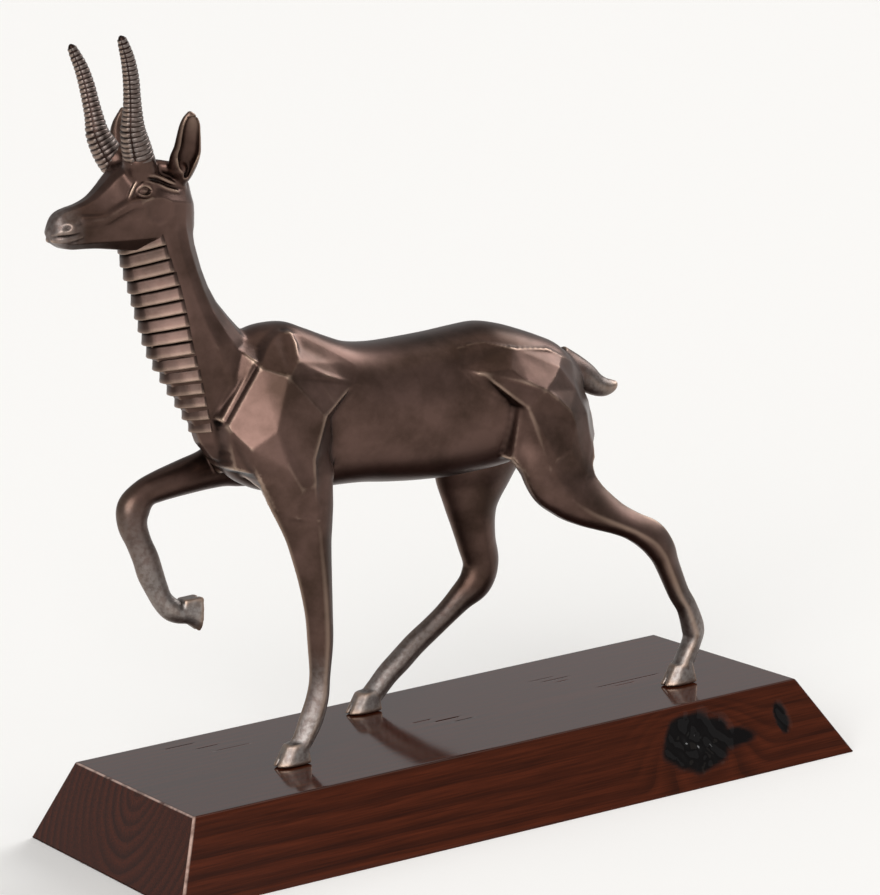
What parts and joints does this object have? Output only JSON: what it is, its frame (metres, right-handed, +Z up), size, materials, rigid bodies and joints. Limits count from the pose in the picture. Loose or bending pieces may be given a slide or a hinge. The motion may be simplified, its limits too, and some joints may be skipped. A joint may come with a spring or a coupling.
{
  "type": "antelope figurine",
  "caption": "Cast bronze antelope striding with one foreleg raised, planed facets and ringed horns, on a slant-sided lacquered wood plinth.",
  "frame": {"origin": "middle of the plinth's underside", "axes": "+Z up, the animal faces -X, its left flank is towards -Y"},
  "size_m": [0.42, 0.192, 0.4448],
  "materials": {
    "bronze": "cast bronze, dark brown patina, rubbed bright on the ridges, satin",
    "lacquered_wood": "red-brown softwood plank with a clear gloss lacquer"
  },
  "bodies": {
    "root": {"bronze_antelope": "bronze", "wooden_plinth": "lacquered_wood"}
  },
  "joints": []
}
